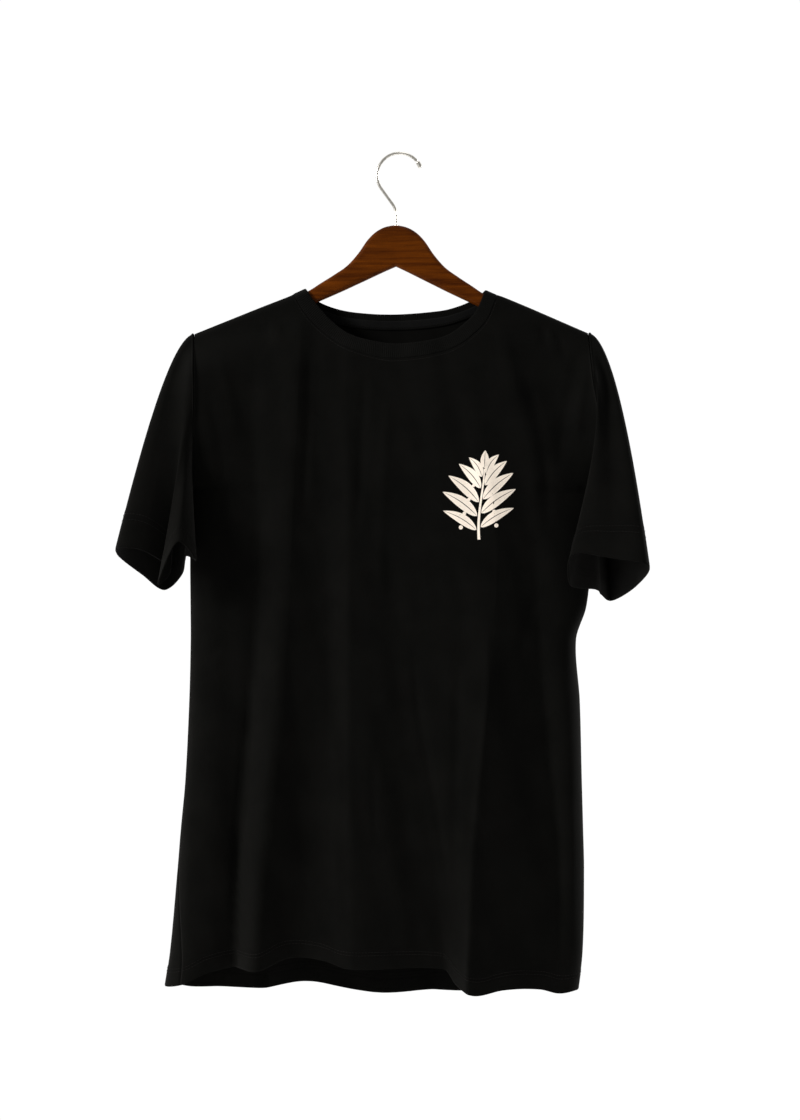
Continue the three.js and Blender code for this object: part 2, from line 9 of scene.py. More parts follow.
import bpy
import numpy as np
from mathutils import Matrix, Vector


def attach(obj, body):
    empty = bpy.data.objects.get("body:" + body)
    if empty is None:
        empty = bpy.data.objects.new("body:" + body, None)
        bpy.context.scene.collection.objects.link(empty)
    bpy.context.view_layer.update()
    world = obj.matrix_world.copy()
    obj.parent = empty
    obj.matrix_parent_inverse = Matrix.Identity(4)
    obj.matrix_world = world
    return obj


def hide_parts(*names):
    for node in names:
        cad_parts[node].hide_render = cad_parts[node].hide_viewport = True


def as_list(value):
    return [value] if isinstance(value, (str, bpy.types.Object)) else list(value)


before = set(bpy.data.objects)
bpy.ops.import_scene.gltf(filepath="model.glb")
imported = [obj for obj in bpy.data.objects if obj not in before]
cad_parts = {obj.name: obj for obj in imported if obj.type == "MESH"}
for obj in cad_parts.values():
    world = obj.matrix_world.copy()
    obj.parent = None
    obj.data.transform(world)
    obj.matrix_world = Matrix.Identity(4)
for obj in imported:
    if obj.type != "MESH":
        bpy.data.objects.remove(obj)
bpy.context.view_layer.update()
BODY = "root"

MM = 0.001

# ---------------------------------------------------------------- sizes

CLOTH = 0.9  # thickness of the jersey
HEM_CLOTH = 1.5  # the hem is turned up once
RIB_CLOTH = 1.8
TAPE_CLOTH = 0.8
SEAM_GAP = 0.4
SEWN_GAP = 0.04  # between panels where their edges meet
HEM_DEPTH = 22
HEM_STITCHES = (19.5, 16)  # the twin needle's two lines, from the hem's edge

WIRE = 3.4
HOOK_RADIUS = 24.4
HOOK_TIP_ANGLE = math.radians(20)
HOOK_LEAN = math.radians(36)
HOOK_LEAN_LENGTH = 20.6
HOOK_BEND_RADIUS = 20
STEM_BOTTOM = -88
CAP_DIAMETER = 5
CAP_LENGTH = 8.5

WOOD_THICKNESS = 12
WOOD_EDGE = 4.5  # radius of its rounded edges
WOOD_TIP = 5  # length over which each arm's end is rounded
WOOD_TILT = 0.016  # slope of its level line, down towards +X
WOOD_REACH = 210  # from its middle to each arm's end
WOOD_FALL = 0.42  # slope of the shoulder line past the arms' ends
CLOTH_ABOVE_WOOD = 3  # from the wood's top to the middle of the cloth on it
LOOSE_FROM = 60  # the cloth rides higher on the arm at +X, from here
LOOSE_OVER = 60  # and fully so this much further out
LOOSE_LIFT = 3.4
SHOULDER_HALF = 8.6  # from the hanger's middle plane to the middle of the cloth beside it
SHOULDER_ROUND = 7  # height over which the cloth rounds over the wood
ARMHOLE_GAP = 1.1  # from the middle of the body's cloth to the middle of the sleeve's

ARMHOLE_DEPTH = 40  # how far each panel's armhole edge stands from the middle plane
ARMPIT_Z = -362
SIDE_BLEND = 50  # below the shoulder line, the height over which the cloth takes its full form
ACROSS_POWER = 0.7  # how columns are spread across the body
DEPTH_POWER = 0.6  # how bluntly the body rounds into its sides
SHOULDER_Z = -196  # height at which columns are laid out
HEM_Z = -900  # height at which hems are laid out
BODY_LENGTH = 740  # nominal length of every column

# Half outline of the wood: reach from its middle, top edge, lower edge.
WOOD = np.array([
    (0, -76.5, -121.5), (12, -79, -127), (22, -84.5, -131.8), (31, -93.5, -136.2),
    (41, -108, -141), (53, -121.5, -146.8), (67, -131.5, -153.3), (81, -140.5, -159.6),
    (97, -150.6, -167), (150, -172.7, -187.6), (WOOD_REACH, -197.8, -212),
])

# Sides of the body: z, x of the left and right sides, and how far the -X side seam comes round
# to the front, as a share of the column's place across.
SIDES = np.array([
    (-915, -256, 192, 0.16), (-863, -248, 198, 0.14), (-776, -240, 199.5, 0.06),
    (-733, -236.5, 198.5, 0), (-678, -231.5, 197, 0), (-592, -227.3, 194.8, 0),
    (-526, -225.8, 190.8, 0), (-490, -226, 202, 0), (-430, -226.3, 208, 0),
    (-362, -223.4, 212, 0), (-290, -220.5, 214, 0), (-244, -220.5, 207, 0),
    (-196, -222, 204, 0),
])

# How far the front and the back hang out from the hanger's faces: z, front, back.
HANG = np.array([
    (-915, 44, 40), (-754, 40, 37), (-592, 34, 32), (-429, 24, 22), (-300, 14, 13),
    (-200, 6, 4), (-148, 0, 0),
])

# Long folds: a crest or hollow's place across and how far it stands out, at each height, and
# how the slope to the next one is shaped.
FOLD_HEIGHTS = (-890, -754, -592, -429, -266, -170)
FRONT_FOLDS = (
    ((-231, -227, -220, -216, -213, -212), (14, 12, 9, 8, 10, 0), "straight"),
    ((-177, -172, -160, -152, -156, -150), (-22, -17, -12, -6, -3, 0), "early"),
    ((-153, -145, -129, -118, -110, -106), (18, 16, 12, 8, 6, 1), "early"),
    ((-108, -93, -79, -80, -88, -86), (-12, -10, -7, -5, -2, 0), "late"),
    ((-50, -53, -55, -55, -58, -60), (3, 4, 5, 4, 2, 0), "even"),
    ((49, 33, 11, -10, -36, -30), (-10, -7, -4, -3, -1, 0), "late"),
    ((72, 77, 93, 104, 86, 70), (24, 18, 12, 6, 2, 0), "straight"),
    ((172, 172, 156, 145, 122, 110), (-13, -13, -11, -2, 5, 2), "early"),
    ((186, 188, 186, 182, 172, 160), (-12, 2, 9, 3, -5, 0), "even"),
)
BACK_FOLDS = (
    ((-205, -200, -194, -186, -184, -180), (12, 10, 8, 6, 8, 0), "even"),
    ((-146, -140, -136, -138, -142, -140), (-16, -12, -9, -6, -3, 0), "early"),
    ((-92, -96, -98, -100, -96, -90), (16, 13, 10, 6, 3, 0), "late"),
    ((-24, -30, -34, -30, -28, -26), (-13, -9, -6, -3, -1, 0), "even"),
    ((38, 34, 28, 24, 22, 20), (15, 11, 8, 5, 2, 0), "early"),
    ((104, 98, 90, 84, 86, 90), (-14, -11, -8, -5, -3, 0), "even"),
    ((156, 152, 146, 140, 138, 136), (14, 11, 8, 6, 5, 0), "even"),
)

# Lower edges: x, z.
FRONT_HEM = np.array([
    (-256, -900), (-232, -894), (-209, -883), (-178, -877), (-150, -877), (-118, -866),
    (-80, -868), (-54, -876), (48, -878), (60, -893), (80, -902), (110, -898), (150, -900),
    (172, -906), (192, -904),
])
BACK_HEM = np.array([
    (-256, -900), (-225, -909), (-150, -909), (-105, -906), (-40, -914), (50, -915),
    (130, -908), (192, -904),
])

# Neck: the rib's seam x, z and its free edge x, z.
NECK_LEFT = (-115, -152, -101.5, -145.8)
NECK_RIGHT = (106, -152.8, 92.8, -147.2)
FRONT_NECK = np.array([
    NECK_LEFT, (-103.6, -171.5, -91.7, -160.5), (-86.3, -190.2, -75.4, -179.4),
    (-60.2, -208.7, -53.7, -195.6), (-22.2, -220.6, -21.2, -204.3), (0.5, -221.9, 0.5, -205.9),
    (35.3, -217.3, 33.1, -202.1), (61.3, -208.9, 54.8, -195), (83, -193.5, 73.2, -181),
    (96.5, -177, 84, -168), NECK_RIGHT,
])
BACK_NECK = np.array([
    NECK_LEFT, (-101, -167.5, -91, -157), (-68, -182, -64.6, -167.4), (-33, -187.3, -32, -171.8),
    (0.5, -188, 0.5, -172.3), (35, -185.5, 33.1, -169.8), (60, -180.5, 54.8, -166.5),
    (91, -167.5, 80, -157), NECK_RIGHT,
])
TAPE_EDGES = (0.02, 0.54)
TAPE_REACH = 90

# Sleeve hems: x, y, z of places round each opening, from the outer fold by the front to the
# underarm halfway round, and back. `cap` is how the sleeve first runs off the shoulder. The right
# sleeve's front is tucked under a strip beside the body.
SLEEVE_RIGHT = {"side": -1, "cap": (-30, -10, -8), "hem": np.array([
    (-296, -88, -427), (-270, -84, -430), (-243.5, -64, -450), (-255, -80, -465),
    (-234, -92, -421), (-216, -66, -440), (-231.5, -10, -436), (-239, 34, -456),
    (-260, 52, -473), (-281, 20, -456), (-297, -20, -441), (-301, -56, -433),
], float)}
SLEEVE_LEFT = {"side": 1, "cap": (31, -12, -8), "hem": np.array([
    (262, -92, -446), (224, -83, -438), (184, -69, -434), (182, -52, -466),
    (213, -4, -472), (222, 40, -478), (236, 68, -485), (255, -20, -468),
], float)}

CREASE_STEPS = 20
CREASE_FADE = 0.22  # share of its length over which each end of a crease fades

# Creases pressed or pulled into the cloth on top of the long folds: half width, how far the
# crease stands out, and its path over the panel as x, z.
FRONT_CREASES = (
    (5, 1.8, ((92, -470), (94, -560), (88, -640), (82, -720), (77, -790), (73, -870), (62, -900))),
    (4, -2.2, ((-150, -470), (-157, -570), (-165, -640), (-171, -700), (-176, -776), (-178, -883))),
    (7, -2.4, ((62, -540), (62, -620), (60, -700), (60, -760), (62, -830))),
    (4.5, -1.6, ((14, -520), (19, -590), (28, -646), (44, -733), (55, -809))),
    (8, 3.2, ((104, -172), (114, -215), (124, -252), (137, -300), (145, -353), (147, -430))),
    (6, -2.2, ((134, -235), (149, -290), (158, -345), (160, -420))),
    (7, -2.6, ((196, -206), (186, -250), (176, -300), (172, -350))),
    (5, 2.2, ((205, -214), (200, -245), (194, -280), (190, -320))),
    (4.5, 1.5, ((-112, -210), (-118, -270), (-121, -340), (-122, -420))),
    (5, -1.6, ((-97, -200), (-99, -260), (-101, -330), (-104, -400))),
    (5, -1.4, ((-36, -232), (-40, -290), (-42, -350), (-48, -420))),
    (6, 1.3, ((-12, -240), (-16, -330), (-20, -420), (-18, -500))),
    (3, -1.6, ((-147, -181), (-143, -196), (-141, -214))),
    (3, 1.4, ((-137, -178), (-133, -194), (-130, -212))),
    (3, -1.4, ((-127, -173), (-123, -188), (-121, -203))),
    (3, -1.5, ((152, -183), (156, -198), (158, -212))),
    (3, 1.4, ((161, -187), (165, -203), (168, -220))),
    (3, -1.5, ((170, -192), (175, -208), (178, -226))),
    (6, -2, ((-208, -250), (-196, -300), (-190, -352), (-186, -410))),
    (5, 1.6, ((-198, -215), (-184, -260), (-176, -310))),
    (4, -1.8, ((-222, -532), (-206, -538), (-190, -535))),
    (4, 1.2, ((-224, -545), (-206, -551), (-188, -546))),
    (5, -1.5, ((150, -470), (138, -505), (128, -548))),
    (6, 1.4, ((-70, -600), (-66, -680), (-68, -760), (-60, -840))),
    (5, -1.4, ((-30, -640), (-26, -720), (-20, -800))),
)
BACK_CREASES = (
    (5, 1.7, ((-96, -470), (-98, -580), (-95, -690), (-92, -800), (-90, -890))),
    (4, -2, ((40, -520), (50, -600), (60, -700), (68, -800))),
    (8, -2.8, ((-150, -190), (-110, -215), (-60, -228), (0, -232), (60, -226), (110, -212))),
    (7, 1.8, ((-140, -215), (-90, -242), (-20, -252), (50, -246), (110, -232))),
    (7, -2.6, ((-196, -212), (-184, -260), (-172, -320), (-160, -380))),
    (6, 2, ((-180, -205), (-166, -250), (-152, -310))),
    (7, -2.4, ((190, -214), (176, -262), (164, -322), (154, -384))),
    (6, 1.8, ((174, -208), (158, -256), (146, -316))),
    (5, -1.4, ((-20, -480), (-26, -560), (-30, -640))),
    (5, 1.3, ((120, -500), (128, -590), (134, -680))),
    (4, -1.6, ((196, -560), (178, -566), (160, -562))),
)

# ---------------------------------------------------------------- curves


def smooth(t):
    s = np.clip(t, 0, 1)
    return s * s * (3 - 2 * s)


def signed_power(v, power):
    return np.sign(v) * np.abs(v) ** power


def curve(xs, ys, at):
    """A smooth curve through places xs (rising) with heights ys, level beyond its ends."""
    xs, ys = np.asarray(xs, float), np.asarray(ys, float)
    at = np.clip(at, xs[0], xs[-1])
    slopes = np.empty_like(ys)
    slopes[1:-1] = (ys[2:] - ys[:-2]) / (xs[2:] - xs[:-2])
    slopes[0] = (ys[1] - ys[0]) / (xs[1] - xs[0])
    slopes[-1] = (ys[-1] - ys[-2]) / (xs[-1] - xs[-2])
    i = np.clip(np.searchsorted(xs, at) - 1, 0, len(xs) - 2)
    span = xs[i + 1] - xs[i]
    t = (at - xs[i]) / span
    leave = t * (1 - t) ** 2 * span * slopes[i]
    arrive = -t * t * (1 - t) * span * slopes[i + 1]
    return ys[i] + (ys[i + 1] - ys[i]) * t * t * (3 - 2 * t) + leave + arrive


def table(rows, column, at):
    """One column of a table over its first, whichever way the first runs."""
    order = np.argsort(rows[:, 0])
    return curve(rows[order, 0], rows[order, column], at)


def ring_point(rows, t):
    """A closed smooth curve through points of a ring, at t from 0 to 1."""
    n = len(rows)
    place = np.mod(t, 1) * n
    i = np.floor(place).astype(int)
    f = (place - i)[..., None]
    a, b, c, d = (rows[(i + k) % n] for k in (-1, 0, 1, 2))
    bend = (2 * a - 5 * b + 4 * c - d) * f * f
    twist = (3 * b - a - 3 * c + d) * f ** 3
    return 0.5 * (2 * b + (c - a) * f + bend + twist)


def unit(v):
    return v / np.maximum(np.linalg.norm(v, axis=-1, keepdims=True), 1e-9)


# ---------------------------------------------------------------- the hanging body

STEM_X = (
    -HOOK_RADIUS * math.cos(HOOK_LEAN)
    + HOOK_LEAN_LENGTH * math.sin(HOOK_LEAN)
    + HOOK_BEND_RADIUS * (1 - math.cos(HOOK_LEAN))
)


def wood_top(x):
    reach = np.abs(x - STEM_X)
    past = np.maximum(reach - WOOD_REACH, 0)
    return table(WOOD, 1, reach) - WOOD_TILT * (x - STEM_X) - past * WOOD_FALL


def wood_under(x):
    return table(WOOD, 2, np.abs(x - STEM_X)) - WOOD_TILT * (x - STEM_X)


def roof(x):
    return wood_top(x) + CLOTH_ABOVE_WOOD + LOOSE_LIFT * smooth((x - LOOSE_FROM) / LOOSE_OVER)


def body_left(z):
    return table(SIDES, 1, z)


def body_right(z):
    return table(SIDES, 2, z)


def slope(kind, t):
    """A step from 0 to 1: even, straight, or steepest early or late."""
    t = np.clip(t, 0, 1)
    if kind == "even":
        return smooth(t)
    shaped = {"straight": t, "early": 1 - (1 - t) ** 2, "late": t ** 2}[kind]
    return 0.25 * smooth(t) + 0.75 * shaped


def fold_out(folds, x, z):
    """How far the long folds bring the cloth out at a place."""
    places = [curve(FOLD_HEIGHTS, xs, z) for xs, _, _ in folds]
    outs = [curve(FOLD_HEIGHTS, out, z) for _, out, _ in folds]
    total = outs[0]
    for k in range(len(folds) - 1):
        step = slope(folds[k][2], (x - places[k]) / (places[k + 1] - places[k]))
        total = total + (outs[k + 1] - outs[k]) * step
    return total


def crease_out(creases, x, z):
    """Soft ridges and troughs along their paths, fading out at both ends."""
    total = np.zeros(np.broadcast(x, z).shape)
    for width, depth, path in creases:
        path = np.array(path, float)
        share = np.linspace(0, 1, CREASE_STEPS)
        knots = np.linspace(0, 1, len(path))
        line = np.stack([curve(knots, path[:, k], share) for k in (0, 1)], -1)
        near = np.full(total.shape, 1e9)
        along = np.zeros(total.shape)
        for k in range(len(line) - 1):
            (ax, az), (dx, dz) = line[k], line[k + 1] - line[k]
            t = np.clip(((x - ax) * dx + (z - az) * dz) / (dx * dx + dz * dz), 0, 1)
            away = np.hypot(x - ax - t * dx, z - az - t * dz)
            closer = away < near
            near = np.where(closer, away, near)
            along = np.where(closer, (k + t) / (len(line) - 1), along)
        fade = smooth(along / CREASE_FADE) * smooth((1 - along) / CREASE_FADE)
        total += depth * fade * np.exp(-((near / width) ** 2))
    return total


# Depths below the shoulder line where creases and ripples start, and over which they grow.
CREASES_FROM, CREASES_OVER = 6, 12
RIPPLES_FROM, RIPPLES_OVER = 15, 90

# Small unevenness of hanging cloth: wavelength across, wavelength down, height, phase.
RIPPLES = (
    (61, 410, 0.9, 0.4), (37, 260, 0.5, 2.1), (83, 190, 0.8, 4.0), (23, 150, 0.22, 1.2),
    (47, 97, 0.35, 5.3), (29, 71, 0.16, 3.4),
)


def ripple(x, z, shift):
    total = 0
    for across, down, height, phase in RIPPLES:
        bend = 0.8 * np.sin(z / (0.37 * down) + phase + shift)
        total = total + height * np.sin(
            2 * math.pi * (x / across + z / down) + phase + shift + bend
        ) * np.cos(2 * math.pi * z / (1.7 * down) - phase)
    return total


FRONT = {"sign": -1, "hang": 1, "folds": FRONT_FOLDS, "creases": FRONT_CREASES,
         "hem": FRONT_HEM, "neck": FRONT_NECK, "shift": 0.0}
BACK = {"sign": 1, "hang": 2, "folds": BACK_FOLDS, "creases": BACK_CREASES,
        "hem": BACK_HEM, "neck": BACK_NECK, "shift": 1.9}


def armhole_out(z):
    top = roof(body_left(z))
    t = np.clip((top - z) / (top - ARMPIT_Z), 0, 1)
    return ARMHOLE_DEPTH * np.sqrt(np.sin(math.pi * t))


def cloth_out(face, x, z):
    """How far the middle of the cloth stands from the hanger's middle plane."""
    below = np.maximum(roof(x) - z, 0)
    rounding = 1 - np.minimum(below / SHOULDER_ROUND, 1)
    shoulder = SHOULDER_HALF * np.sqrt(1 - rounding ** 2)
    hanging = table(HANG, face["hang"], z) + fold_out(face["folds"], x, z)
    small = crease_out(face["creases"], x, z) * smooth((below - CREASES_FROM) / CREASES_OVER)
    uneven = ripple(x, z, face["shift"]) * smooth((below - RIPPLES_FROM) / RIPPLES_OVER)
    return shoulder + hanging * smooth(below / SIDE_BLEND) + small + uneven


def across_of(u):
    return (1 - signed_power(np.cos(math.pi * u), ACROSS_POWER)) / 2


def column_at(x, z):
    across = (x - body_left(z)) / (body_right(z) - body_left(z))
    return np.arccos(signed_power(1 - 2 * across, 1 / ACROSS_POWER)) / math.pi


def width_place(u, z):
    return body_left(z) + (body_right(z) - body_left(z)) * across_of(u)


def face_point(face, u, z):
    x = width_place(u, z)
    full = cloth_out(face, x, z)
    middle = np.sin(math.pi * np.clip(u, 0, 1)) ** DEPTH_POWER
    closing = smooth((roof(x) - z) / SIDE_BLEND) * (1 - middle)
    y = full + (armhole_out(z) - full) * closing
    return np.stack([x, face["sign"] * y, z + 0 * x], -1)


def body_point(face, u, z):
    """A point of the body's tube; u below 0 goes round the -X side to the other face."""
    other = FRONT if face is BACK else BACK
    here, round_the_side = face_point(face, np.abs(u), z), face_point(other, np.abs(u), z)
    return np.where((u < 0)[..., None], round_the_side, here)


def panel_top(face, x):
    inside = (x > NECK_LEFT[0]) & (x < NECK_RIGHT[0])
    return np.where(inside, table(face["neck"], 1, x), roof(x))


def turned(face, u, z):
    """A column as it lies at a height, where the side seam comes round to the front."""
    turn = -face["sign"] * table(SIDES, 3, z)
    return turn + (1 - turn) * u


def hem_at(face, u):
    """The lower edge at a place round the body, whichever panel is sewn there."""
    x = width_place(np.abs(u), HEM_Z)
    return np.where(u < 0, table(FRONT["hem"], 1, x), table(face["hem"], 1, x))


def column_point(face, u, length):
    """A point of a panel: a column u at a length below its upper edge."""
    u, length = np.broadcast_arrays(u, length)
    top = panel_top(face, width_place(u, SHOULDER_Z))
    hem = hem_at(face, turned(face, u, HEM_Z))
    z = top + (hem - top) * length / BODY_LENGTH
    return body_point(face, turned(face, u, z), z)


def neck_columns(count):
    """Columns across the neck, closest together where the seam runs steeply."""
    share = np.arange(count + 1) / count
    t = share / 2 + (1 - np.cos(math.pi * share)) / 4
    x = NECK_LEFT[0] + (NECK_RIGHT[0] - NECK_LEFT[0]) * t
    x[[0, -1]] += (1e-6, -1e-6)
    return x, column_at(x, SHOULDER_Z)


def panel_columns(shoulder, neck):
    _, middle = neck_columns(neck)
    share = np.arange(shoulder) / shoulder
    return np.concatenate([middle[0] * share, middle, (1 - (1 - middle[-1]) * share)[::-1]])


# ---------------------------------------------------------------- meshes


def grid_normals(grid, side, closed):
    if closed:
        across = np.roll(grid, -1, 1) - np.roll(grid, 1, 1)
    else:
        across = np.gradient(grid, axis=1)
    return unit(np.cross(across, np.gradient(grid, axis=0))) * side


def volume_inside(points, faces):
    """Six times the volume inside faces of three or four corners, below 0 if turned inward."""
    first = points[faces[:, 0]]
    total = 0
    for k in range(1, faces.shape[1] - 1):
        total += np.sum(np.cross(first, points[faces[:, k]]) * points[faces[:, k + 1]])
    return total


def mesh_object(name, points, *face_sets, uvs=None, shade=True):
    """A mesh in metres from points in millimetres, its faces turned outward."""
    if sum(volume_inside(points, faces) for faces in face_sets) < 0:
        face_sets = [faces[:, ::-1] for faces in face_sets]
    mesh = bpy.data.meshes.new(name)
    mesh.from_pydata((points * MM).tolist(), [], [face for faces in face_sets for face in faces.tolist()])
    if uvs is not None:
        corners = np.concatenate([faces.ravel() for faces in face_sets])
        layer = mesh.uv_layers.new(name="cloth")
        layer.data.foreach_set("uv", (uvs[corners] * MM).ravel())
    if shade:
        mesh.shade_smooth()
    mesh.validate()
    piece = bpy.data.objects.new(name, mesh)
    bpy.context.scene.collection.objects.link(piece)
    return piece


def grid_faces(rows, columns, closed, offset=0, flip=False):
    """Four-cornered faces over a grid of points, closed round its columns or not."""
    last = columns if closed else columns - 1
    i, j = np.meshgrid(np.arange(rows - 1), np.arange(last), indexing="ij")
    here, below = i * columns, (i + 1) * columns
    k = (j + 1) % columns
    quads = np.stack([here + j, here + k, below + k, below + j], -1).reshape(-1, 4) + offset
    return quads[:, ::-1] if flip else quads


def arc_uv(grid):
    """Lengths along the middle row and down each column."""
    across = np.linalg.norm(np.diff(grid[len(grid) // 2], axis=0), axis=-1)
    u = np.concatenate([[0], np.cumsum(across)])
    down = np.linalg.norm(np.diff(grid, axis=0), axis=-1).mean(1)
    v = np.concatenate([[0], np.cumsum(down)])
    return np.stack(np.meshgrid(u, v), -1)


def shell(name, grid, thickness, side, closed=False):
    """A closed cloth wall on a grid of its middle points; thickness may differ by row."""
    rows, columns = grid.shape[:2]
    normals = grid_normals(grid, side, closed)
    half = np.broadcast_to(np.asarray(thickness, float), (rows,))[:, None, None] / 2
    outer, inner = grid + normals * half, grid - normals * half
    points = np.concatenate([outer.reshape(-1, 3), inner.reshape(-1, 3)])
    count = rows * columns
    faces = [grid_faces(rows, columns, closed), grid_faces(rows, columns, closed, count, True)]
    rims = [np.arange(columns), (rows - 1) * columns + np.arange(columns)]
    if not closed:
        rims += [np.arange(rows) * columns, np.arange(rows) * columns + columns - 1]
    for k, rim in enumerate(rims):
        ahead = np.roll(rim, -1) if closed else rim[1:]
        rim = rim if closed else rim[:-1]
        strip = np.stack([rim, rim + count, ahead + count, ahead], -1)
        faces.append(strip if k in (0, 3) else strip[:, ::-1])
    uv = arc_uv(grid).reshape(-1, 2)
    return mesh_object(name, points, np.concatenate(faces), uvs=np.concatenate([uv, uv]))


def tube(name, path, radii, sides=20):
    """A round bar along a path in the plane y = 0, with a radius at each point."""
    ahead = unit(np.gradient(path, axis=0))
    flat = np.cross(ahead, (0, 1, 0))
    angle = np.linspace(0, 2 * math.pi, sides, endpoint=False)
    cos, sin = (turn(angle)[None, :, None] for turn in (np.cos, np.sin))
    ring = cos * flat[:, None] + sin * np.array((0, 1, 0))
    return closed_bar(name, path[:, None] + ring * radii[:, None, None])


def closed_bar(name, rings):
    """A closed solid over rings of points, with a centre point closing each end."""
    rows, columns = rings.shape[:2]
    points = np.concatenate([rings.reshape(-1, 3), [rings[0].mean(0), rings[-1].mean(0)]])
    first, last = rows * columns, rows * columns + 1
    j = np.arange(columns)
    k = (j + 1) % columns
    end = (rows - 1) * columns
    quads = grid_faces(rows, columns, True)
    near = np.stack([k, j, np.full(columns, first)], -1)
    far = np.stack([end + j, end + k, np.full(columns, last)], -1)
    return mesh_object(name, points, quads, near, far)


# ---------------------------------------------------------------- cloth pieces

ROWS = np.concatenate([
    [0.0, 0.6, 1.4], np.arange(2.4, 28, 2.3), np.arange(30, BODY_LENGTH - 27, 4.3),
    np.arange(BODY_LENGTH - 26, BODY_LENGTH - 0.5, 1.0), [BODY_LENGTH - 0.5, BODY_LENGTH],
])


def hem_thickness(lengths, end):
    """Cloth thickness by length: double over the turned-up hem, thin at the cut edges."""
    from_end = end - lengths
    hem = smooth((HEM_DEPTH + 1 - from_end) / 2)
    pulled = sum(np.exp(-((from_end - at) / 0.9) ** 2) for at in HEM_STITCHES)
    edge = 0.55 + 0.45 * smooth(np.minimum(from_end, lengths) / 1.2)
    return (CLOTH + (HEM_CLOTH - CLOTH) * hem - 0.5 * pulled) * edge


def panel(name, face, shoulder, neck):
    """A panel with this many columns over each shoulder and across the neck, and its grid."""
    u = panel_columns(shoulder, neck)
    grid = column_point(face, u[None, :], ROWS[:, None])
    rows = grid.copy()
    for edge, inner in ((0, 1), (-1, -2)):
        rows[:, edge] += unit(grid[:, inner] - grid[:, edge]) * SEWN_GAP
    rows[0] += unit(grid[1] - grid[0]) * SEWN_GAP
    return shell(name, rows, hem_thickness(ROWS, BODY_LENGTH), face["sign"]), rows


def armhole_point(side, w):
    """The armhole's edge, from the shoulder (w = 0) by the front to the armpit and back."""
    u = 0.0 if side < 0 else 1.0
    down = (1 - np.cos(2 * math.pi * w)) / 2
    top = roof(body_left(SHOULDER_Z) if side < 0 else body_right(SHOULDER_Z))
    z = top + (ARMPIT_Z - top) * down
    front, back = (face_point(face, np.full_like(z, u), z) for face in (FRONT, BACK))
    point = np.where((w <= 0.5)[..., None], front, back)
    point[..., 0] += side * ARMHOLE_GAP
    return point


def sleeve_point(sleeve, w, t):
    """A point of a sleeve: w round it from the shoulder fold, t from armhole to hem."""
    w, t = np.broadcast_arrays(np.mod(w, 1), t)
    start = armhole_point(sleeve["side"], w)
    cap = np.array(sleeve["cap"], float) * (np.cos(math.pi * w) ** 6)[..., None]
    end = ring_point(sleeve["hem"], w)
    t = t[..., None]
    return start * (1 - t) ** 2 + (start + cap) * 2 * t * (1 - t) + end * t * t


SLEEVE_LENGTH = 235
SLEEVE_ROWS = np.concatenate([
    [0.0, 0.5, 1.2, 2, 3, 4.5, 6.5], np.arange(9, SLEEVE_LENGTH - 27, 3.6),
    np.arange(SLEEVE_LENGTH - 26, SLEEVE_LENGTH - 0.5, 1.0), [SLEEVE_LENGTH - 0.5, SLEEVE_LENGTH],
]) / SLEEVE_LENGTH
SLEEVE_AROUND = 120


def sleeve_shell(name, sleeve):
    """A sleeve and its grid; the cloth swells a little beside the armhole seam."""
    w = np.arange(SLEEVE_AROUND) / SLEEVE_AROUND
    grid = sleeve_point(sleeve, w[None, :], SLEEVE_ROWS[:, None])
    lengths = SLEEVE_ROWS * SLEEVE_LENGTH
    normals = grid_normals(grid, sleeve["side"], True)
    swell = 0.9 * np.exp(-(((lengths - 5) / 3) ** 2)) * smooth(lengths / 3)
    grid = grid + normals * swell[:, None, None]
    return shell(name, grid, hem_thickness(lengths, SLEEVE_LENGTH), sleeve["side"], True), grid


def rib_sections(face, count):
    """Seam and free edge of the neck rib across one face."""
    x, u = neck_columns(count)
    seam = column_point(face, u, 0)
    free_x, free_z = table(face["neck"], 2, x), table(face["neck"], 3, x)
    free = np.stack([free_x, face["sign"] * cloth_out(face, free_x, free_z), free_z], -1)
    return seam, free


RIB_TUCK = 1.6  # the seam edge of the rib lies inside the panels' edges
RIB_ROWS = np.array([
    -0.09, -0.05, 0, 0.02, 0.04, 0.06, 0.09, 0.16, 0.28, 0.42, 0.56, 0.7, 0.82, 0.9, 0.95, 0.98, 1.0,
])
RIB_COLUMNS = 220


def neck_rib():
    fronts, backs = rib_sections(FRONT, RIB_COLUMNS), rib_sections(BACK, RIB_COLUMNS)
    seam = np.concatenate([fronts[0][:-1], backs[0][:0:-1]])
    free = np.concatenate([fronts[1][:-1], backs[1][:0:-1]])
    s = RIB_ROWS[:, None, None]
    grid = seam * (1 - s) + free * s
    tucked = np.array((0, -1, 0)) * np.sign(seam[:, 1:2]) * RIB_TUCK
    grid = grid + tucked * (1 - smooth(RIB_ROWS / 0.06))[:, None, None]
    ends = np.minimum((RIB_ROWS + 0.12) / 0.25, (1 - RIB_ROWS) / 0.08)
    thickness = RIB_CLOTH * (0.35 + 0.65 * smooth(ends))
    return shell("neck_rib_cloth", grid, thickness, -1, True), grid


def neck_tape():
    x, _ = neck_columns(RIB_COLUMNS)
    seam, free = rib_sections(BACK, RIB_COLUMNS)
    keep = np.abs(x) < TAPE_REACH
    share = np.linspace(*TAPE_EDGES, 9)
    s = share[:, None, None]
    grid = seam[keep] * (1 - s) + free[keep] * s
    grid = grid - np.array((0, RIB_CLOTH / 2 + SEAM_GAP + TAPE_CLOTH / 2, 0))
    edge = np.minimum(share - share[0], share[-1] - share) / (share[1] - share[0])
    return shell("neck_tape_cloth", grid, TAPE_CLOTH * (0.5 + 0.5 * smooth(edge)), 1), grid


# ---------------------------------------------------------------- stitches

STITCH = 2.7
STITCH_SPACING = 3.4
THREAD = 0.24


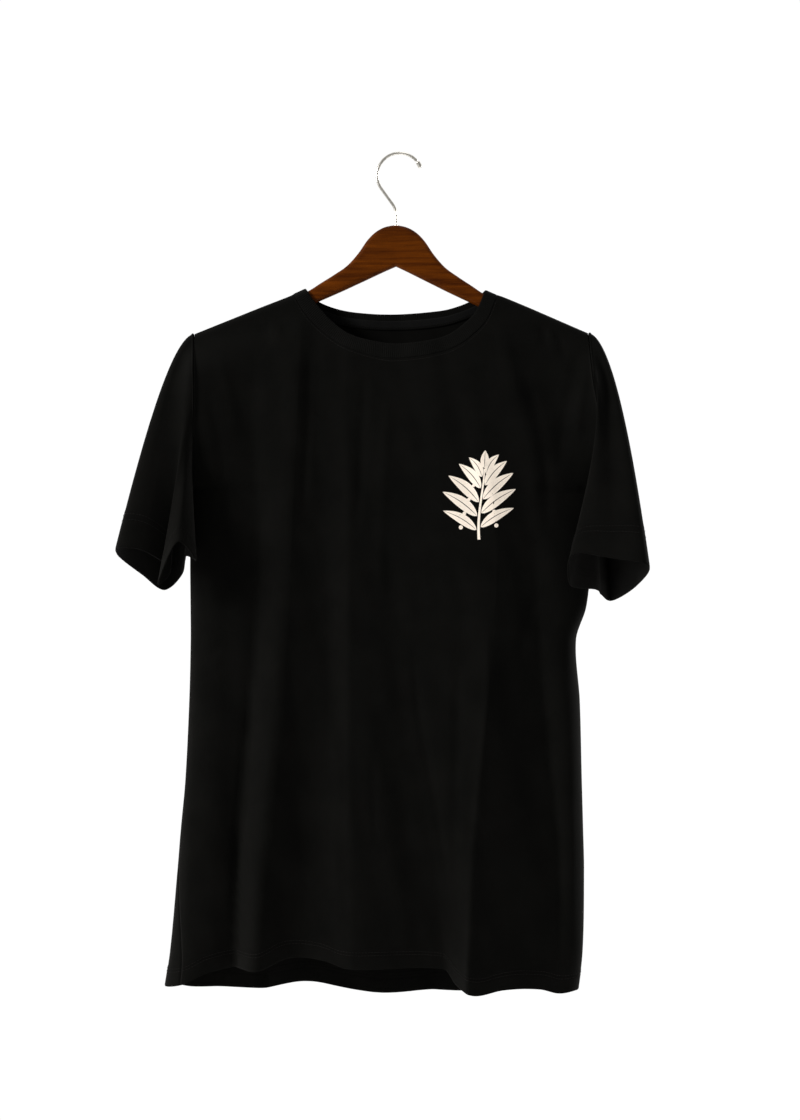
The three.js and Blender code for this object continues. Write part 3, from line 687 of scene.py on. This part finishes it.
def surface_line(point, side, u, length, step_u, step_length):
    """Points of a line on a surface and the surface's outward direction there."""
    across = point(u + step_u, length) - point(u - step_u, length)
    down = point(u, length + step_length) - point(u, length - step_length)
    return point(u, length), unit(np.cross(across, down)) * side


def stitches(name, lines, lift):
    """Short arched stitches of thread laid along lines on the cloth."""
    points, faces = [], []
    shares = np.linspace(0, 1, 5)
    sides = 6
    angles = np.arange(sides) * 2 * math.pi / sides
    cos, sin = (turn(angles)[None, :, None] for turn in (np.cos, np.sin))
    for line, out in lines:
        run = np.concatenate([[0], np.cumsum(np.linalg.norm(np.diff(line, axis=0), axis=-1))])
        starts = np.arange(0.3, run[-1] - STITCH, STITCH_SPACING)
        for start in starts:
            at = start + shares * STITCH
            place = np.stack([np.interp(at, run, line[:, k]) for k in range(3)], -1)
            up = unit(np.stack([np.interp(at, run, out[:, k]) for k in range(3)], -1))
            arch = np.sin(math.pi * shares)
            place = place + up * (lift + 0.2 * arch)[:, None]
            ahead = unit(np.gradient(place, axis=0))
            beside = np.cross(ahead, up)
            radius = (THREAD * (0.45 + 0.55 * arch))[:, None, None]
            ring = cos * beside[:, None] + sin * up[:, None]
            first = len(points) * len(shares) * sides
            points.append((place[:, None] + ring * radius).reshape(-1, 3))
            faces.append(grid_faces(len(shares), sides, True, first))
            caps = np.array([[0, 5, 4, 3], [0, 3, 2, 1]])
            end = first + (len(shares) - 1) * sides
            faces += [caps[:, ::-1] + first, caps + end]
    return mesh_object(name, np.concatenate(points), np.concatenate(faces))


# ---------------------------------------------------------------- hanger


def hanger_bar():
    """The wood: rounded sections along both arms, closing at the tips."""
    straight = WOOD_REACH - WOOD_TIP
    rounding = straight + WOOD_TIP * np.sin(np.linspace(0.2, math.pi / 2, 8))
    reach = np.concatenate([np.linspace(0, straight, 110), rounding])
    reach[-1] -= 0.01
    offset = np.concatenate([-reach[:0:-1], reach])
    x = STEM_X + offset
    past = np.maximum(np.abs(offset) - straight, 0) / WOOD_TIP
    close = np.sqrt(np.clip(1 - past ** 2, 0.02, 1))
    top, under = wood_top(x), wood_under(x)
    middle, half = (top + under) / 2, (top - under) / 2
    slope = np.abs(np.gradient(top, x))
    corner = np.minimum(WOOD_EDGE * np.sqrt(1 + slope ** 2), half * 0.9)[:, None]
    angle = np.linspace(0, 2 * math.pi, 48, endpoint=False) + math.pi / 48
    flat = WOOD_THICKNESS / 2 - WOOD_EDGE
    across = np.sign(np.cos(angle)) * flat + np.cos(angle) * WOOD_EDGE
    up = np.sign(np.sin(angle)) * (half[:, None] - corner) + np.sin(angle) * corner
    width = across[None, :] * (0.35 + 0.65 * close[:, None])
    height = middle[:, None] + up * close[:, None]
    rings = np.stack([np.broadcast_to(x[:, None], width.shape), width, height], -1)
    return closed_bar("hanger_board", rings)


def on_hook(angle):
    """Points of the hook's arc; it touches z = 0 from below at its top."""
    angle = np.asarray(angle)
    return np.stack([
        HOOK_RADIUS * np.cos(angle), 0 * angle, HOOK_RADIUS * np.sin(angle) - HOOK_RADIUS + WIRE / 2,
    ], -1)


def hook_wire():
    """The wire: the hook's arc, a leaning run, a bend and the upright stem."""
    start = HOOK_TIP_ANGLE + CAP_LENGTH / HOOK_RADIUS
    arc = on_hook(np.linspace(start, math.pi + HOOK_LEAN, 90))
    leaning = np.array((math.sin(HOOK_LEAN), 0, -math.cos(HOOK_LEAN)))
    run = arc[-1] + leaning * np.linspace(0, HOOK_LEAN_LENGTH, 14)[1:, None]
    lean = HOOK_LEAN * (1 - np.arange(1, 15) / 14)
    bend = run[-1] + HOOK_BEND_RADIUS * np.stack([
        np.cos(lean) - math.cos(HOOK_LEAN), 0 * lean, np.sin(lean) - math.sin(HOOK_LEAN),
    ], -1)
    stem = np.array([(STEM_X, 0, z) for z in np.linspace(bend[-1, 2], STEM_BOTTOM, 8)[1:]])
    path = np.concatenate([arc, run, bend, stem])
    return tube("hook_wire", path, np.full(len(path), WIRE / 2))


def hook_cap():
    """The small cap on the hook's free end, domed at both ends."""
    end = HOOK_TIP_ANGLE + (CAP_LENGTH - 1.5 * SEAM_GAP) / HOOK_RADIUS
    t = (1 - np.cos(np.linspace(0, math.pi, 26))) / 2
    path = on_hook(HOOK_TIP_ANGLE + (end - HOOK_TIP_ANGLE) * t)
    from_end = np.minimum(t, 1 - t) * CAP_LENGTH
    dome = np.sqrt(np.clip(1 - (1 - np.minimum(from_end / 1.4, 1)) ** 2, 0.03, 1))
    return tube("hook_end_cap", path, CAP_DIAMETER / 2 * dome, 24)


# ---------------------------------------------------------------- print

PRINT_AT = (88, -372)
INK = 0.16
# Pairs of leaves from the lowest: height on the stem, length, lean in degrees, half width.
LEAVES = (
    (-34, 41, 30, 5.4), (-19, 45, 35, 6.2), (-4, 43, 41, 6.2), (11, 35, 48, 5.6), (23, 25, 57, 4.6),
)
LEAF_SHAPE = (0.0, 0.05, 0.11, 0.2, 0.32, 0.45, 0.58, 0.7, 0.8, 0.88, 0.94, 1.0)


def front_at(x, z):
    """The middle of the front panel's cloth at a place across and a height."""
    return face_point(FRONT, column_at(x, z), z)


def on_front(x, z, lift):
    """A point this far in front of the front panel's middle."""
    step = 1.0
    across = front_at(x + step, z) - front_at(x - step, z)
    down = front_at(x, z - step) - front_at(x, z + step)
    return front_at(x, z) - unit(np.cross(across, down)) * lift


def print_sprig():
    """A sprig of paired leaves with berries, printed on the wearer's left chest."""
    grids = []

    def strip(base, direction, length, width, bow):
        t = np.array(LEAF_SHAPE)
        profile = np.sin(math.pi * t ** 0.8) ** 0.8
        profile[[0, -1]] = 0.02
        spine = np.array(base) + np.outer(t * length, direction)
        beside = np.array((-direction[1], direction[0]))
        spine = spine + np.outer(np.sin(math.pi * t) * bow, beside)
        share = np.linspace(0.07, 1, 5)[None, :, None]  # a vein is left bare down the middle
        for part in (-1, 1):
            half = (part * profile * width)[:, None, None]
            grids.append(spine[:, None] + beside * half * share)

    def disc(centre, radius):
        angle = np.linspace(0, 2 * math.pi, 25)
        reach = np.linspace(0.02, 1, 4) * radius
        ring = np.stack([np.cos(angle), np.sin(angle)], -1)
        grids.append(np.array(centre) + ring[:, None] * reach[None, :, None])

    def stem_at(height):
        return 3.2 * np.sin(height / 22)

    stem_z = np.linspace(-46, 30, 26)
    stem = np.stack([stem_at(stem_z), stem_z], -1)
    width = np.linspace(1.5, 0.7, len(stem_z))
    across = np.linspace(-1, 1, 3)[None, :] * width[:, None]
    grids.append(stem[:, None] + np.array((1, 0)) * across[..., None])
    for k, (height, length, lean, fat) in enumerate(LEAVES):
        foot_x = stem_at(height)
        for side in (-1, 1):
            angle = math.radians(lean)
            direction = np.array((side * math.cos(angle), math.sin(angle)))
            base = (foot_x + side * 2.2, height + (1.5 if side > 0 else -1.5))
            strip(base, direction, length, fat, side * 2.4)
            if k < len(LEAVES) - 1:
                disc((foot_x + side * (19 - 3 * k), height + 2.2 + side), 2.2 - 0.2 * k)
    strip((stem_at(30), 31), np.array((0.05, 0.9987)), 19, 4.6, 0)
    points, faces = [], []
    first = 0
    for grid in grids:
        x, z = PRINT_AT[0] + grid[..., 0], PRINT_AT[1] + grid[..., 1]
        rows, columns = grid.shape[:2]
        count = rows * columns
        for lift in (CLOTH / 2 + 0.02 + INK, CLOTH / 2 + 0.02):
            points.append(on_front(x, z, lift).reshape(-1, 3))
        faces.append(grid_faces(rows, columns, False, first))
        faces.append(grid_faces(rows, columns, False, first + count, True))
        along, down = np.arange(columns), np.arange(rows) * columns
        for rim, flip in (
            (along, False), ((rows - 1) * columns + along, True),
            (down, True), (down + columns - 1, False),
        ):
            quad = np.stack([rim[:-1], rim[:-1] + count, rim[1:] + count, rim[1:]], -1) + first
            faces.append(quad[:, ::-1] if flip else quad)
        first += 2 * count
    return mesh_object("chest_print", np.concatenate(points), np.concatenate(faces), shade=False)


# ---------------------------------------------------------------- materials


def nodes_of(material):
    material.use_nodes = True
    tree = material.node_tree
    return tree, tree.nodes["Principled BSDF"]


def connect(tree, kind, inputs=(), **settings):
    node = tree.nodes.new(kind)
    for key, value in settings.items():
        setattr(node, key, value)
    for socket, value in dict(inputs).items():
        if isinstance(value, bpy.types.NodeSocket):
            tree.links.new(value, node.inputs[socket])
        else:
            node.inputs[socket].default_value = value
    return node


def calculate(tree, operation, a, b=0.0):
    return connect(tree, "ShaderNodeMath", {0: a, 1: b}, operation=operation).outputs[0]


def set_sockets(shader, **sockets):
    for name, value in sockets.items():
        shader.inputs[name.replace("_", " ")].default_value = value


def ramp(tree, factor, low, high, start=0.3, end=0.7):
    node = connect(tree, "ShaderNodeValToRGB", {0: factor})
    node.color_ramp.elements[0].position = start
    node.color_ramp.elements[1].position = end
    node.color_ramp.elements[0].color = (*low, 1)
    node.color_ramp.elements[1].color = (*high, 1)
    return node.outputs[0]


def noise(tree, scale, detail=3.0, vector=None, roughness=0.5):
    inputs = {"Scale": scale, "Detail": detail, "Roughness": roughness}
    if vector is None:
        vector = connect(tree, "ShaderNodeTexCoord").outputs["Object"]
    inputs["Vector"] = vector
    return connect(tree, "ShaderNodeTexNoise", inputs).outputs[0]


def bump(tree, shader, height, strength, distance):
    node = connect(tree, "ShaderNodeBump", {"Height": height, "Strength": strength, "Distance": distance})
    tree.links.new(node.outputs[0], shader.inputs["Normal"])


def cloth_coordinates(tree):
    uv = connect(tree, "ShaderNodeUVMap", uv_map="cloth").outputs[0]
    parts = connect(tree, "ShaderNodeSeparateXYZ", {0: uv})
    return parts.outputs[0], parts.outputs[1]


def wave(tree, value, pitch, phase=0.0):
    turns = calculate(tree, "MULTIPLY", value, 2 * math.pi / pitch)
    return calculate(tree, "SINE", calculate(tree, "ADD", turns, phase))


def paint(tree, shader, factor, low, high, start=0.3, end=0.7):
    tree.links.new(ramp(tree, factor, low, high, start, end), shader.inputs["Base Color"])


def roughen(tree, shader, factor, least, most):
    inputs = {"Value": factor, "To Min": least, "To Max": most}
    tree.links.new(connect(tree, "ShaderNodeMapRange", inputs).outputs[0], shader.inputs["Roughness"])


def mix_in(tree, value, other, share):
    return calculate(tree, "ADD", value, calculate(tree, "MULTIPLY", other, share))


def cloth_material(name, low, high, pattern, strength, distance):
    """Patchy colour, a knitted or woven pattern in relief and a little fuzz over it."""
    material = bpy.data.materials.new(name)
    tree, shader = nodes_of(material)
    paint(tree, shader, noise(tree, 26, 4), low, high)
    roughen(tree, shader, noise(tree, 900, 2), 0.82, 0.98)
    set_sockets(shader, Specular_IOR_Level=0.02, Sheen_Weight=0.02, Sheen_Roughness=0.5)
    shader.inputs["Sheen Tint"].default_value = (0.9, 0.87, 0.82, 1)
    bump(tree, shader, mix_in(tree, pattern(tree), noise(tree, 1500, 2), 0.8), strength, distance)
    return material


def jersey_pattern(tree):
    """Columns of interlocking loops."""
    u, v = cloth_coordinates(tree)
    column = calculate(tree, "ABSOLUTE", wave(tree, u, 0.0018))
    return mix_in(tree, column, wave(tree, mix_in(tree, v, column, 0.00025), 0.0007), 0.35)


def rib_pattern(tree):
    """One by one rib across the band."""
    u, v = cloth_coordinates(tree)
    return mix_in(tree, wave(tree, u, 0.0021), wave(tree, v, 0.0008), 0.2)


def tape_pattern(tree):
    """Herringbone tape: slanted lines that turn back down the middle."""
    u, v = cloth_coordinates(tree)
    zigzag = calculate(tree, "ABSOLUTE", calculate(tree, "SUBTRACT", v, 0.0042))
    return wave(tree, calculate(tree, "ADD", u, zigzag), 0.0016)


def thread_pattern(tree):
    return noise(tree, 2400, 2)


# Each cloth: darkest and lightest colour, pattern, strength and depth of its relief in metres.
CLOTHS = {
    "jersey": ((0.0021, 0.0021, 0.0018), (0.0031, 0.0030, 0.0026), jersey_pattern, 0.25, 0.0002),
    "ribbing": ((0.0026, 0.0026, 0.0023), (0.0037, 0.0036, 0.0032), rib_pattern, 0.5, 0.0004),
    "tape": ((0.0046, 0.0046, 0.0045), (0.0062, 0.0062, 0.006), tape_pattern, 0.5, 0.0003),
    "thread": ((0.009, 0.0085, 0.008), (0.013, 0.012, 0.011), thread_pattern, 0.2, 0.0001),
}


def print_material():
    """Pale ink with small dull specks."""
    material = bpy.data.materials.new("print_ink")
    tree, shader = nodes_of(material)
    speckle = noise(tree, 700, 4, roughness=0.7)
    paint(tree, shader, speckle, (0.45, 0.39, 0.33), (0.84, 0.74, 0.63), 0.28, 0.42)
    set_sockets(shader, Roughness=0.75, Specular_IOR_Level=0.2)
    bump(tree, shader, noise(tree, 1100, 3), 0.4, 0.0002)
    return material


def wood_material():
    """Red-brown varnished wood, its grain along the arms."""
    material = bpy.data.materials.new("varnished_wood")
    tree, shader = nodes_of(material)
    place = connect(tree, "ShaderNodeTexCoord").outputs["Object"]
    stretched = connect(tree, "ShaderNodeMapping", {"Vector": place, "Scale": (7, 60, 90)}).outputs[0]
    grain = noise(tree, 1.6, 7, stretched, 0.62)
    streaks = connect(tree, "ShaderNodeMapping", {"Vector": place, "Scale": (18, 400, 620)}).outputs[0]
    pores = noise(tree, 1.0, 3, streaks)
    both = mix_in(tree, grain, calculate(tree, "SUBTRACT", pores, 0.5), 0.35)
    paint(tree, shader, both, (0.031, 0.0058, 0.0003), (0.098, 0.0225, 0.0008), 0.34, 0.68)
    roughen(tree, shader, pores, 0.3, 0.5)
    set_sockets(shader, Specular_IOR_Level=0.03, Coat_Weight=0.02, Coat_Roughness=0.25)
    bump(tree, shader, pores, 0.12, 0.0002)
    return material


def steel_material():
    """Bright drawn wire."""
    material = bpy.data.materials.new("plated_steel")
    tree, shader = nodes_of(material)
    drawn = noise(tree, 520, 3)
    paint(tree, shader, drawn, (0.60, 0.57, 0.51), (0.80, 0.77, 0.71))
    roughen(tree, shader, drawn, 0.16, 0.34)
    set_sockets(shader, Metallic=1.0)
    bump(tree, shader, drawn, 0.08, 0.0001)
    return material


jersey, ribbing, tape, thread = (cloth_material(name, *look) for name, look in CLOTHS.items())
ink, wood, steel = print_material(), wood_material(), steel_material()

# ---------------------------------------------------------------- the object


def dress(piece, material, slot, *stands_for):
    """Gives a piece its look, says which body it rides and hides the imported parts it stands for."""
    piece.data.materials.clear()
    piece.data.materials.append(material)
    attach(piece, BODY)
    if stands_for:
        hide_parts(*stands_for)
    return piece


LEAST_CUT = 10  # the tape's cut, part of it inside the seam


def flat_size(grid, closed=False):
    """Width, length and area of a piece of cloth laid flat, in metres."""
    loop = np.concatenate([grid, grid[:, :1]], 1) if closed else grid
    widths = np.linalg.norm(np.diff(loop, axis=1), axis=-1).sum(1)
    lengths = np.linalg.norm(np.diff(loop, axis=0), axis=-1).sum(0)
    across, down = np.diff(loop, axis=1)[:-1], np.diff(loop, axis=0)[:, :-1]
    area = np.linalg.norm(np.cross(across, down), axis=-1).sum()
    width, length = round(widths.max() * MM, 3), round(max(lengths.max(), LEAST_CUT) * MM, 3)
    return (width, length), min(round(area * MM * MM, 4), width * length)


board = dress(hanger_bar(), wood, "varnished_wood", "hanger_wood")
dress(hook_wire(), steel, "steel", "hanger_hook")
dress(hook_cap(), steel, "steel", "hook_cap")

front, front_grid = panel("front_cloth", FRONT, 34, 92)
back, back_grid = panel("back_cloth", BACK, 26, 70)
sleeve_right, right_grid = sleeve_shell("sleeve_right_cloth", SLEEVE_RIGHT)
sleeve_left, left_grid = sleeve_shell("sleeve_left_cloth", SLEEVE_LEFT)
rib, rib_grid = neck_rib()
neck_band, tape_grid = neck_tape()

dress(front, jersey, "jersey", "front_panel")
dress(back, jersey, "jersey", "back_panel")
dress(sleeve_right, jersey, "jersey", "sleeve_right")
dress(sleeve_left, jersey, "jersey", "sleeve_left")
dress(rib, ribbing, "ribbing", "neck_rib")
dress(neck_band, tape, "tape", "neck_tape")
sprig = dress(print_sprig(), ink, "print")

NECK_SEWING = 3.2  # distance of the stitches from the neck seam


def seam_on_panel(face, u, length):
    def point(at, down):
        return column_point(face, at, down)

    return surface_line(point, face["sign"], u, length, 1e-4, 0.5)


def seam_on_sleeve(sleeve, w, from_end):
    def point(at, along):
        return sleeve_point(sleeve, at, along)

    return surface_line(point, sleeve["side"], w, 1 - from_end / SLEEVE_LENGTH, 1e-4, 1e-3)


def sewing(name, lines, lift):
    return dress(stitches(name, lines, lift), thread, "jersey")


def panel_stitches(name, face, lengths):
    u = np.linspace(0.004, 0.996, 700)
    return sewing(name, [seam_on_panel(face, u, length) for length in lengths], HEM_CLOTH / 2)


def sleeve_stitches(name, sleeve):
    w = np.linspace(0, 1, 500)
    return sewing(name, [seam_on_sleeve(sleeve, w, at) for at in HEM_STITCHES], HEM_CLOTH / 2)


def neck_stitches():
    u = neck_columns(400)[1][6:-6]
    lines = [seam_on_panel(face, u, NECK_SEWING) for face in (FRONT, BACK)]
    return sewing("neck_stitches", lines, CLOTH / 2)


hem_lengths = [BODY_LENGTH - at for at in HEM_STITCHES]
front_sewing = panel_stitches("front_hem_stitches", FRONT, hem_lengths)
back_sewing = panel_stitches("back_hem_stitches", BACK, hem_lengths)
right_sewing = sleeve_stitches("sleeve_right_stitches", SLEEVE_RIGHT)
left_sewing = sleeve_stitches("sleeve_left_stitches", SLEEVE_LEFT)
neck_sewing = neck_stitches()

for piece, grid, closed, on_it, held_by in (
    (front, front_grid, False, [sprig, front_sewing, neck_sewing], [board]),
    (back, back_grid, False, [back_sewing], [board]),
    (sleeve_right, right_grid, True, [right_sewing], [front, back]),
    (sleeve_left, left_grid, True, [left_sewing], [front, back]),
    (rib, rib_grid, True, [], [front, back]),
    (neck_band, tape_grid, False, [], [rib]),
):
    flat, area = flat_size(grid, closed)
    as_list(held_by)
    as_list(on_it)

# ---------------------------------------------------------------- stage, light, camera


FLOOR_RADIUS = 1.4
FLOOR_Z = -1.35


def floor():
    """A pale disc under the hanging object."""
    mesh = bpy.data.meshes.new("floor")
    angle = np.linspace(0, 2 * math.pi, 96, endpoint=False)
    rim = [FLOOR_RADIUS * np.cos(angle), FLOOR_RADIUS * np.sin(angle), np.full(len(angle), FLOOR_Z)]
    mesh.from_pydata(np.stack(rim, -1).tolist(), [], [list(range(len(angle)))])
    plane = bpy.data.objects.new("floor", mesh)
    bpy.context.scene.collection.objects.link(plane)
    material = bpy.data.materials.new("floor")
    _, shader = nodes_of(material)
    set_sockets(shader, Roughness=0.9, Specular_IOR_Level=0.1)
    shader.inputs["Base Color"].default_value = (0.86, 0.86, 0.85, 1)
    mesh.materials.append(material)


def area_light(name, place, aim, size, power):
    """A round lamp, its size in metres and its power in watts, turned toward a point."""
    light = bpy.data.lights.new(name, "AREA")
    light.shape = "DISK"
    light.size, light.energy = size, power
    lamp = bpy.data.objects.new(name, light)
    lamp.location = place
    lamp.rotation_euler = (Vector(aim) - Vector(place)).to_track_quat("-Z", "Y").to_euler()
    bpy.context.scene.collection.objects.link(lamp)


def surroundings():
    """A white wall of light behind the object and a dimmer room in front of it."""
    world = bpy.data.worlds.new("studio")
    bpy.context.scene.world = world
    world.use_nodes = True
    tree = world.node_tree
    background = tree.nodes["Background"]
    background.inputs["Color"].default_value = (1, 1, 1, 1)
    toward = connect(tree, "ShaderNodeTexCoord").outputs["Generated"]
    parts = connect(tree, "ShaderNodeSeparateXYZ", {0: toward})
    bright = connect(tree, "ShaderNodeMapRange", {
        "Value": parts.outputs[1], "From Min": -0.3, "From Max": 0.2, "To Min": 0.34, "To Max": 1.02,
    }).outputs[0]
    tree.links.new(bright, background.inputs["Strength"])


floor()
surroundings()
area_light("key", (-2.4, -1.5, 0.5), (0, 0, -0.45), 1.0, 105)
area_light("top", (0.3, -0.6, 2.2), (0, 0, -0.4), 1.2, 12)
area_light("behind", (2.5, 1.3, 0.4), (0, 0, -0.5), 0.8, 90)

camera = bpy.data.objects.new("camera", bpy.data.cameras.new("camera"))
camera.data.sensor_width = 36
camera.data.lens = 88.87
camera.location = (0.0005, -3.0, -0.4398)
camera.rotation_euler = (math.radians(90), 0, 0)
bpy.context.scene.collection.objects.link(camera)
bpy.context.scene.camera = camera
bpy.context.scene.view_settings.view_transform = "Standard"
